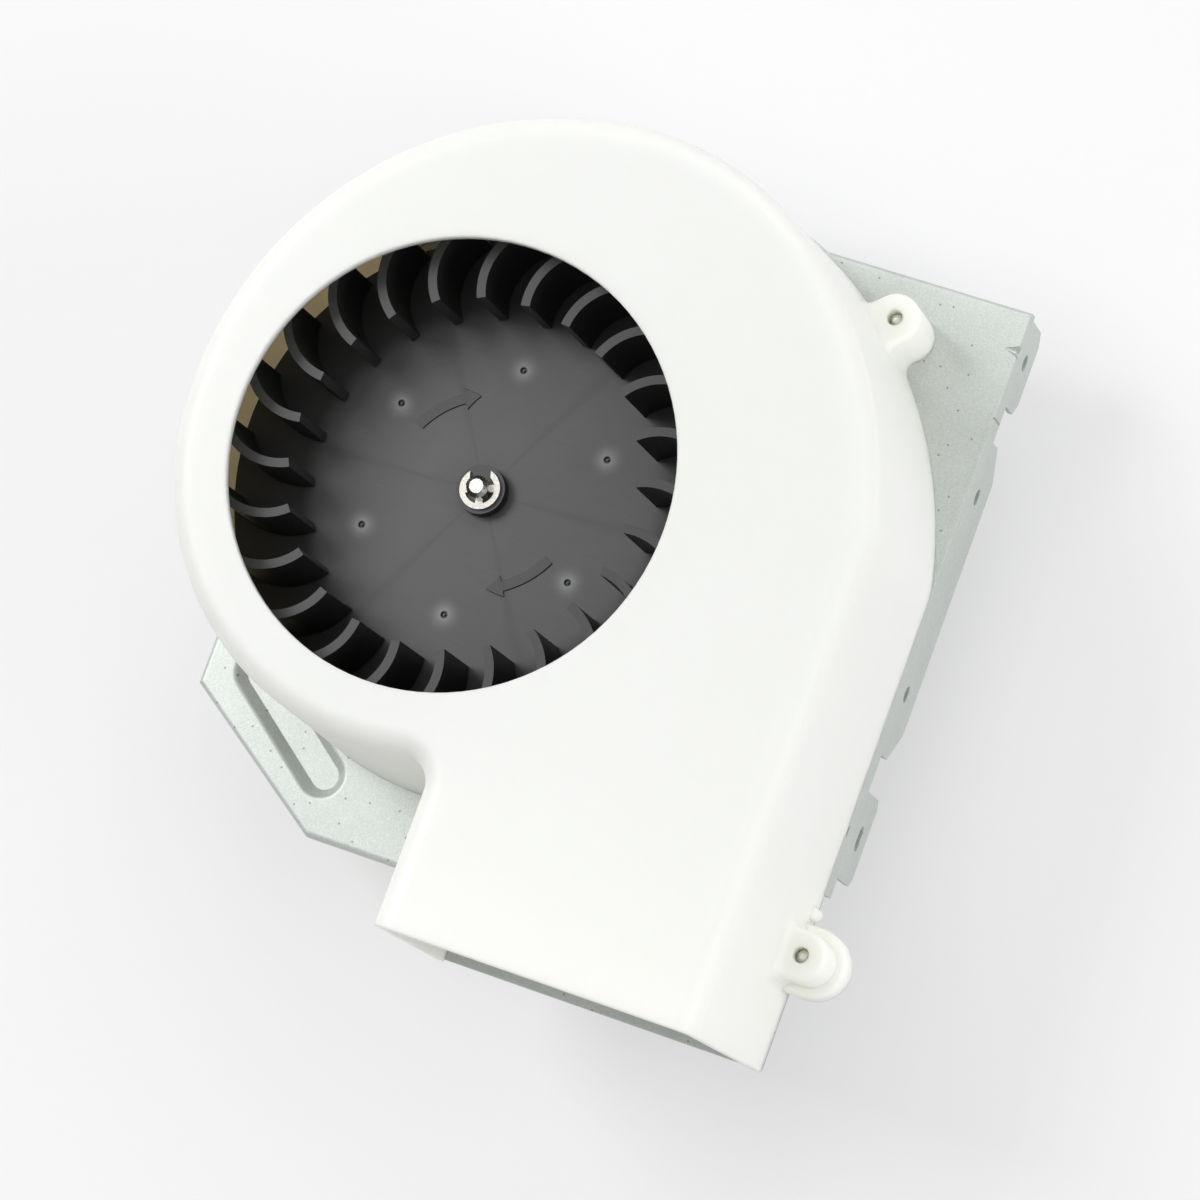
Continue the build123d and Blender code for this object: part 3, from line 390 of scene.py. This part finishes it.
nodes["mounting_plate"].data.materials.clear()
nodes["mounting_plate"].data.materials.append(coated_steel())
print("coated steel on", nodes["mounting_plate"].name)

# %% [markdown]
# ## Laminated electrical steel
# The stack is punched sheets of 0.5 mm, pressed together. From the side each sheet is a line,
# and the cut edges are a darker blue grey than the faces. The sheets could be modelled one by
# one, but nothing sets them apart except a fine line. So a wave along the shaft draws them as
# grooves, at their real size. Blender's wave repeats every 2 pi / 20 of its scale, and the scale
# follows from the sheet's thickness.

# %% Laminated steel
sheet_thickness = 0.0005
stack_drift = 180.0  # drifts of tone of about 6 mm


def laminated_steel():
    """Punched sheets of 0.5 mm, seen as fine grooves across the stack."""
    material, tree, place = new_material("laminated_electrical_steel")
    sheets = add_node(tree, "TexWave", {"bands_direction": "Z", "wave_profile": "SIN"},
                      Vector=place, Scale=2 * pi / 20 / sheet_thickness)
    cloud = add_node(tree, "TexNoise", Vector=place, Scale=stack_drift, Detail=4.0,
                     Roughness=0.6)
    tone = add_node(tree, "ValToRGB", Fac=cloud.outputs["Fac"])
    tone.color_ramp.elements[0].position = 0.3
    tone.color_ramp.elements[0].color = linear("#676B73")
    tone.color_ramp.elements[1].position = 0.7
    tone.color_ramp.elements[1].color = linear("#8A8E95")
    dark = add_node(tree, "MapRange", Value=sheets.outputs["Fac"], From_Min=0.0, From_Max=0.4,
                    To_Min=0.6, To_Max=1.0)
    colour = add_node(tree, "VectorMath", {"operation": "SCALE"},
                      _0=tone.outputs["Color"], Scale=dark.outputs["Result"])
    relief = add_node(tree, "Bump", Height=sheets.outputs["Fac"], Strength=0.5, Distance=0.0001)
    surface = add_node(tree, "BsdfPrincipled", Base_Color=colour.outputs[0], Metallic=0.85,
                       Roughness=0.42, Normal=relief.outputs["Normal"])
    close_material(tree, surface.outputs["BSDF"])
    return material


lamination_steel = laminated_steel()
print("sheets per mm of stack:", round(mm / sheet_thickness, 1))

# %% [markdown]
# ## The other metals
# Shaft, rings, screws, castings and tabs differ in tone, in how sharply they reflect, and in the
# size of the grain that their making leaves: 0.2 mm for grinding, 0.6 mm for casting. One
# material with those as its values covers them. A drift between two close tones keeps a plain
# metal from looking like a flat fill.

# %% Metals
metal_drift = 120.0  # drifts of tone of about 8 mm


def plain_metal(name, dark, light, roughness, grain_mm, depth=0.00005):
    """A metal whose tone drifts between two colours, with a grain of the given size."""
    material, tree, place = new_material(name)
    grain = add_node(tree, "TexNoise", Vector=place, Scale=1000.0 / grain_mm, Detail=4.0,
                     Roughness=0.6)
    cloud = add_node(tree, "TexNoise", Vector=place, Scale=metal_drift, Detail=3.0,
                     Roughness=0.5)
    colour = add_node(tree, "Mix", {"data_type": "RGBA"}, _0=cloud.outputs["Fac"],
                      _6=linear(dark), _7=linear(light))
    rough = add_node(tree, "MapRange", Value=grain.outputs["Fac"], From_Min=0.3, From_Max=0.7,
                     To_Min=roughness * 0.8, To_Max=roughness * 1.2)
    relief = add_node(tree, "Bump", Height=grain.outputs["Fac"], Strength=0.25, Distance=depth)
    surface = add_node(tree, "BsdfPrincipled", Base_Color=colour.outputs[2], Metallic=1.0,
                       Roughness=rough.outputs["Result"], Normal=relief.outputs["Normal"])
    close_material(tree, surface.outputs["BSDF"])
    return material


finishes = {
    "lamination_steel": lamination_steel,
    "ground_steel": plain_metal("ground_steel", "#B9B9B8", "#D6D6D4", 0.20, 0.2),
    "spring_steel": plain_metal("nickel_plated_spring_steel", "#CFCCC4", "#E6E3DB", 0.16, 0.8,
                                0.00001),
    "zinc_plated_steel": plain_metal("zinc_plated_steel", "#CACBBF", "#E0E1D6", 0.3, 0.4),
    "die_cast": plain_metal("die_cast_zinc", "#9DA0A3", "#B7BABC", 0.46, 0.6, 0.0001),
    "cage_aluminium": plain_metal("cast_aluminium", "#B4B6B8", "#CED0D2", 0.45, 0.6),
    "sintered_bronze": plain_metal("sintered_bronze", "#7F5C34", "#A27C4A", 0.5, 0.2),
    "copper": plain_metal("drawn_copper", "#B56B42", "#CC8258", 0.3, 0.3),
    "tinned_brass": plain_metal("tinned_brass", "#BDB9AC", "#D8D5CB", 0.3, 0.3),
}
print("metals:", sorted(finishes))

# %% [markdown]
# ## Plastics, rubber, tape and wire of the motor
# The small insulating pieces differ mostly in tone and in how sharp their highlight is. Moulded
# nylon is a warm white, the tape is a thin amber polyester film, rubber is nearly black and dull,
# and felt scatters light from its fibres. After this cell every finish has a name, and each CAD
# node takes the one that its material slot asks for.

# %% Insulating materials
moulding_drift = 150.0  # drifts of tone of about 7 mm


def plain_moulding(name, dark, light, roughness, index, grain_mm, strength=0.1):
    """A moulded or woven non-metal: two close tones and a surface grain."""
    material, tree, place = new_material(name)
    cloud = add_node(tree, "TexNoise", Vector=place, Scale=moulding_drift, Detail=3.0,
                     Roughness=0.5)
    grain = add_node(tree, "TexNoise", Vector=place, Scale=1000.0 / grain_mm, Detail=3.0,
                     Roughness=0.6)
    colour = add_node(tree, "Mix", {"data_type": "RGBA"}, _0=cloud.outputs["Fac"],
                      _6=linear(dark), _7=linear(light))
    relief = add_node(tree, "Bump", Height=grain.outputs["Fac"], Strength=strength,
                      Distance=0.0001)
    surface = add_node(tree, "BsdfPrincipled", Base_Color=colour.outputs[2], Roughness=roughness,
                       IOR=index, Normal=relief.outputs["Normal"])
    close_material(tree, surface.outputs["BSDF"])
    return material


finishes.update({
    "bobbin_plastic": plain_moulding("moulded_nylon", "#E3DCCB", "#EBE5D6", 0.42, 1.53, 0.5),
    "bush_plastic": plain_moulding("moulded_acetal", "#E8E6DD", "#F0EEE6", 0.38, 1.48, 0.5),
    "insulating_tape": plain_moulding("polyester_tape", "#C99A2B", "#DDB347", 0.22, 1.6, 1.5),
    "rubber": plain_moulding("moulded_rubber", "#151515", "#1F1F1F", 0.75, 1.52, 0.4, 0.3),
    "felt": plain_moulding("oiled_felt", "#7E7560", "#A3987C", 0.95, 1.5, 0.15, 0.8),
    "enamelled_wire": plain_moulding("enamelled_wire", "#7A3412", "#9C4A1E", 0.25, 1.6, 0.3),
})
for part in frame["record"]["subparts"]:
    if part["material_slot"] in finishes:
        piece = nodes[part["node"]]
        piece.data.materials.clear()
        piece.data.materials.append(finishes[part["material_slot"]])
print("nodes dressed:", sum(len(n.data.materials) == 1 for n in nodes.values()))

# %% [markdown]
# ## Threaded hardware
# The CAD model has plain stand-ins for the screws and bolts. A real screw has a pressed cross
# recess in its head and a rolled thread. Every point of such a surface follows from two numbers:
# how far along the outline it lies, and how far round the axis. A Screw modifier could wind the
# thread, but its start, its end and the recess would need other tools and a clean-up. Here the
# whole grid is one array, and the faces join each point to its next neighbour round and along.


# %% A closed surface from a grid
def grid_piece(name, points, places, material, loop=False):
    """Copies of one closed surface as one object.

    points[i, j] is the point P(t_i, a_j): t runs along the outline and a goes once round. The
    faces look along dP/da x dP/dt. A loop joins the last row to the first, and otherwise the two
    end rows are closed by a flat face each.
    """
    rows, columns, _ = points.shape
    index = np.arange(rows * columns).reshape(rows, columns)
    beside = np.roll(index, -1, axis=1)
    last = rows if loop else rows - 1
    ahead = np.roll(index, -1, axis=0)
    ahead_beside = np.roll(beside, -1, axis=0)
    quads = np.stack([index, beside, ahead_beside, ahead], axis=-1)[:last].reshape(-1, 4)
    steps = np.arange(len(places)) * rows * columns
    faces = (quads[None] + steps[:, None, None]).reshape(-1, 4).tolist()
    if not loop:
        faces += [list(index[0, ::-1] + step) for step in steps.tolist()]
        faces += [list(index[-1] + step) for step in steps.tolist()]
    spots = (points[None] + np.array(places)[:, None, None, :]).reshape(-1, 3) * mm
    mesh = bpy.data.meshes.new(name)
    mesh.from_pydata(spots, [], faces)
    mesh.shade_smooth()
    mesh.set_sharp_from_angle(angle=radians(38))
    piece = bpy.data.objects.new(name, mesh)
    bpy.context.scene.collection.objects.link(piece)
    mesh.materials.append(material)
    print(name, "has", len(faces), "faces in", len(places), "pieces")
    return piece


# %% [markdown]
# The outline of a screw starts in the middle of its head, goes out over the dome, down the rim,
# in under the head and along the shank to the tip. The recess lowers the dome where both the
# distance across one arm and along it are small. The thread adds to the core radius a ridge that
# is highest where the height minus the climb of the helix is a whole number of pitches.

# %% Screw surface
slot_half = 0.6  # half the width of one arm of the cross
slot_slope = 0.15  # how far its side walls lean
arm_slope = 0.5  # how far its end walls lean


def screw_points(head_radius, head_height, radius, core, pitch, plain, length, arm, depth):
    """A screw along +z with the seat of its head at z = 0, in millimetres.

    Head: z = -H + 0.35 H (r/R)^2 + depth * cross(x, y). Shank: r = core + (radius - core) *
    ridge(z / pitch - a / 2 pi), with ridge(s) = 1 - 2 |s - round(s)| raised to 1.6.
    """
    around = np.linspace(0, 2 * pi, 64, endpoint=False)[None, :]
    out = np.linspace(0.04, 0.94, 34)[:, None] * head_radius
    x, y = out * np.cos(around), out * np.sin(around)
    narrow, wide = np.minimum(abs(x), abs(y)), np.maximum(abs(x), abs(y))
    side_wall = np.clip((slot_half - narrow) / slot_slope, 0, 1)
    cross = side_wall * np.clip((arm - wide) / arm_slope, 0, 1)
    dome = -head_height + 0.35 * head_height * (out / head_radius) ** 2 + depth * cross
    rim_radius = np.array([0.985, 1.0, 1.0, 0.97])[:, None] * head_radius
    rim_height = np.array([-0.62, -0.5, -0.08, 0.0])[:, None] * head_height
    along = np.arange(0, length - 0.5, pitch / 10)[:, None]
    phase = along / pitch - around / (2 * pi)
    ridge = (1 - 2 * abs(phase - np.round(phase))) ** 1.6
    fade = np.clip((along - plain) / pitch, 0, 1) * np.clip((length - along) / pitch, 0, 1)
    base = np.where(along < plain, radius, core)
    shank = base + (radius - base) * ridge * fade
    tip_radius = np.array([0.8, 0.45])[:, None] * core
    tip_height = np.array([length - 0.15, length])[:, None]
    r = np.concatenate([out + 0 * around, rim_radius + 0 * around, shank, tip_radius + 0 * around])
    z = np.concatenate([dome, rim_height + 0 * around, along + 0 * around, tip_height + 0 * around])
    return np.stack([r * np.cos(around), r * np.sin(around), z], axis=-1)


screw_outline = screw_points(head_radius=3.8, head_height=2.4, radius=1.95, core=1.45, pitch=1.4,
                             plain=0.0, length=21.7, arm=2.3, depth=1.3)
bolt_outline = screw_points(head_radius=4.0, head_height=2.6, radius=1.99, core=1.65, pitch=0.7,
                            plain=30.0, length=42.3, arm=2.4, depth=1.4)
print("points along and round: screw", screw_outline.shape[:2], "bolt", bolt_outline.shape[:2])

# %% [markdown]
# Three self-tapping screws hold the plate against the lugs of the scroll, heads behind the plate.
# Their blunt tips show at the bottom of the lug holes. Two machine bolts carry the motor, with
# their heads on the fan side and fine threads that end behind the nuts. A bolt points down, so
# its points are turned half round about the x axis.

# %% Screws and bolts
plate_back = -73.2  # height of the plate's rear face, in millimetres
lug_places = [(85.0, 79.26), (-46.9, 81.23), (119.0, -87.0)]
housing_screws = grid_piece("thread_forming_screws", screw_outline,
                            [(x, y, plate_back) for x, y in lug_places],
                            finishes["zinc_plated_steel"])
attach(housing_screws, "stator")
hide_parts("housing_screws")

washer_top = -70.0
bolt_places = [(25.0, 0.0), (-25.0, 0.0)]
motor_bolts = grid_piece("machine_bolts", bolt_outline * (1, -1, -1),
                         [(x, y, washer_top) for x, y in bolt_places],
                         finishes["zinc_plated_steel"])
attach(motor_bolts, "stator")
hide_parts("motor_bolts")

# %% [markdown]
# A hexagon nut is a ring. Its outside radius is the smaller of two: the hexagon's, which is half
# the flats over the cosine of the angle from the nearest flat, and the turned chamfer's, a cone
# that starts at each end face. Where the cone wins, it cuts the corners in curved lines. Cutting
# a prism with a cone by a Boolean gives the same lines, and one minimum of two arrays is simpler.


# %% Nuts
def nut_points(flats, bore, height):
    """A nut's ring: r = min(flats / 2 / cos(a'), limit(z)), with a' folded to +-30 degrees."""
    around = np.linspace(0, 2 * pi, 96, endpoint=False)[None, :]
    folded = (around + pi / 6) % (pi / 3) - pi / 6
    corner = flats / 2 / np.cos(folded)
    up = np.concatenate([np.linspace(0, 0.6, 9), np.linspace(height - 0.6, height, 9)])[:, None]
    limit = 0.93 * flats / 2 + np.minimum(up, height - up) / np.tan(radians(30))
    outside = np.minimum(corner, limit)
    ends = np.full((1, 96), bore)
    r = np.concatenate([ends, outside, ends])
    z = np.concatenate([0 * ends, up + 0 * around, 0 * ends + height])
    return np.stack([r * np.cos(around), r * np.sin(around), z], axis=-1)


nut_bottom = -111.0
motor_nuts = grid_piece("hexagon_nuts", nut_points(flats=7.0, bore=2.0, height=3.2),
                        [(x, y, nut_bottom) for x, y in bolt_places],
                        finishes["zinc_plated_steel"], loop=True)
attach(motor_nuts, "stator")
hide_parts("motor_nuts")

# %% [markdown]
# ## Pressed relief at the fold
# Where the flange is folded down beside a tab, the punch leaves a small relief cut with a curl of
# sheet pushed down in it. It could be cut into the plate, but the plate comes from the CAD model
# and stays as it is, so the curl is a piece of its own. It is one thin shell: its top is a trough
# that gets wider and deeper towards the fold, and its underside lies one thickness lower.


# %% Relief curls
def curl_points(reach, width, depth, thickness):
    """A trough's closed shell, as rows along x and one turn round each cross-section.

    Half width: w = width / 2 * (0.15 + 0.85 u). Top: z = -depth u (1 - 0.8 v^2), with v across.
    """
    along = np.linspace(0.0, 1.0, 14)[:, None]
    across = np.linspace(1.0, -1.0, 15)
    around = np.concatenate([across, across[::-1]])[None, :]
    half_width = width / 2 * (0.15 + 0.85 * along)
    top = -depth * along * (1 - 0.8 * around ** 2)
    lower = np.concatenate([np.zeros(15), np.full(15, thickness)])[None, :]
    x = reach * (along - 1) + 0 * around
    return np.stack([x, half_width * around, top - lower], axis=-1)


relief_places = [(113.9, 84.3, -72.0), (113.9, -50.7, -72.0)]
relief_curls = grid_piece("relief_curls",
                          curl_points(reach=3.9, width=3.4, depth=3.4, thickness=0.5),
                          relief_places, nodes["mounting_plate"].data.materials[0])
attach(relief_curls, "stator")

# %% [markdown]
# ## Running arrows
# Two curved arrows on the disc show which way the wheel runs. The side walls that the camera sees
# lie on their lower right, so they stand up from the disc. The CAD wheel has them pressed in, and
# a raised arrow goes over each. Its outline could be drawn as a curve and extruded, but an arc
# with a width is all it is: the width jumps at the barbs and runs out at the tip.


# %% Arrows
def arrow_points(circle, tail, barb, tip, stem, head, draft, low, top):
    """A curved bar's closed shell: rows along the arc, and four corners round each row.

    The corners are at radius R + w + d, R + w, R - w, R - w - d and height low, top, top, low,
    with d the draft. The half width w is the stem's up to the barbs, and from there it falls in a
    line from head to nothing. Tail, barb and tip are degrees on the circle, and the rest is in mm.
    """
    stem_turn = np.linspace(tail, barb + 0.15, 24)
    head_turn = np.linspace(barb, tip, 12)
    turn = np.radians(np.concatenate([stem_turn, head_turn]))[:, None]
    taper = head * (head_turn - tip) / (barb - tip) + 0.06
    half_width = np.concatenate([np.full(24, stem), taper])[:, None]
    r = circle + half_width * np.array([1, 1, -1, -1]) + draft * np.array([1, 0, 0, -1])
    z = np.array([low, top, top, low]) + 0 * r
    return np.stack([r * np.cos(turn), r * np.sin(turn), z], axis=-1)


disc_front = -34.8  # height of the disc's front face
arrow_top = -34.4
arrow = arrow_points(circle=26.0, tail=153.15, barb=121.65, tip=112.4, stem=1.31, head=2.81,
                     draft=0.3, low=-35.2, top=arrow_top)
both_arrows = np.concatenate([arrow[None], arrow[None] * (-1, -1, 1)])
for number, points in enumerate(both_arrows, start=1):
    running_arrow = grid_piece(f"running_arrow_{number}", points, [(0.0, 0.0, 0.0)],
                               nodes["impeller"].data.materials[0])
    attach(running_arrow, "rotor")
print("arrow height over the disc in mm:", round(arrow_top - disc_front, 2))

# %% [markdown]
# ## The floor
# A catalogue picture has a white ground with a soft shadow. Enough light to make a real floor
# white would burn out the white scroll. So the floor is a matt plane just under the lowest point
# that glows a little where the camera or a reflection sees it. That lifts it to white, keeps the
# shadow, and throws no extra light on the blower. Its underside is clear, so that a camera below
# it sees the motor.

# %% Floor
floor_level = cad_low.z - 0.05 * mm
half = 3.0  # half the floor's side, in metres
glow_share = 0.47  # how much of the floor that the camera sees is its glow
glow_strength = 0.96
corners = [(-half, -half), (half, -half), (half, half), (-half, half)]
floor_mesh = bpy.data.meshes.new("floor")
floor_mesh.from_pydata([(x, y, floor_level) for x, y in corners], [], [(0, 1, 2, 3)])
floor = bpy.data.objects.new("floor", floor_mesh)
bpy.context.scene.collection.objects.link(floor)
paper, tree, _ = new_material("white_paper")
rays = add_node(tree, "LightPath")
matt = add_node(tree, "BsdfDiffuse", Color=linear("#EDEDEE"))
glow = add_node(tree, "Emission", Color=linear("#FCFCFC"), Strength=glow_strength)
seen = add_node(tree, "MixShader", Fac=glow_share, _1=matt.outputs[0], _2=glow.outputs[0])
looked_at = add_node(tree, "Math", {"operation": "MAXIMUM"},
                     _0=rays.outputs["Is Camera Ray"], _1=rays.outputs["Is Glossy Ray"])
ground = add_node(tree, "MixShader", Fac=looked_at.outputs[0],
                  _1=matt.outputs[0], _2=seen.outputs[0])
under = add_node(tree, "NewGeometry").outputs["Backfacing"]
clear = add_node(tree, "BsdfTransparent")
sheet = add_node(tree, "MixShader", Fac=under, _1=ground.outputs[0], _2=clear.outputs[0])
close_material(tree, sheet.outputs[0])
floor.data.materials.append(paper)
print("floor at z in mm:", round(floor_level / mm, 2))

# %% [markdown]
# ## Lamps and room
# A picture of a studio could light the blower from all sides at once. Three large soft lamps are
# easier to place and to reason about. The first, high on the left, gives the roof its tone and
# the plate on the right its shadow. The second fills from the top of the picture, and the third
# is low on the right, so that the side walls don't go grey. A pale room lights the rest. The
# camera and reflections see a lighter backdrop than the room that gives light, and the lamps stay
# weak enough for a white surface to keep just under full white.


# %% Lights
def soft_light(name, spot, size, power):
    """A square area light at a spot in millimetres, turned towards the blower."""
    data = bpy.data.lights.new(name, "AREA")
    data.size = size
    data.energy = power
    lamp = bpy.data.objects.new(name, data)
    lamp.location = Vector(spot) * mm
    lamp.rotation_euler = (-lamp.location).to_track_quat("-Z", "Y").to_euler()
    bpy.context.scene.collection.objects.link(lamp)


soft_light("key", (-1180, 230, 1500), 0.9, 21.5)
soft_light("top", (-100, 1700, 1300), 1.3, 11.0)
soft_light("side", (1500, 0, 650), 1.2, 13.5)
room_strength = 0.42  # light from all round, beside the three lamps
world = bpy.data.worlds.new("studio")
world.use_nodes = True
tree = world.node_tree
tree.nodes.clear()
rays = add_node(tree, "LightPath")
looked_at = add_node(tree, "Math", {"operation": "MAXIMUM"},
                     _0=rays.outputs["Is Camera Ray"], _1=rays.outputs["Is Glossy Ray"])
room = add_node(tree, "Background", Color=linear("#FFFFFF"), Strength=room_strength)
backdrop = add_node(tree, "Background", Color=linear("#F2F2F3"), Strength=1.0)
both = add_node(tree, "MixShader", Fac=looked_at.outputs[0],
                _1=room.outputs[0], _2=backdrop.outputs[0])
add_node(tree, "OutputWorld", Surface=both.outputs[0])
bpy.context.scene.world = world
bpy.context.scene.view_settings.view_transform = "Standard"
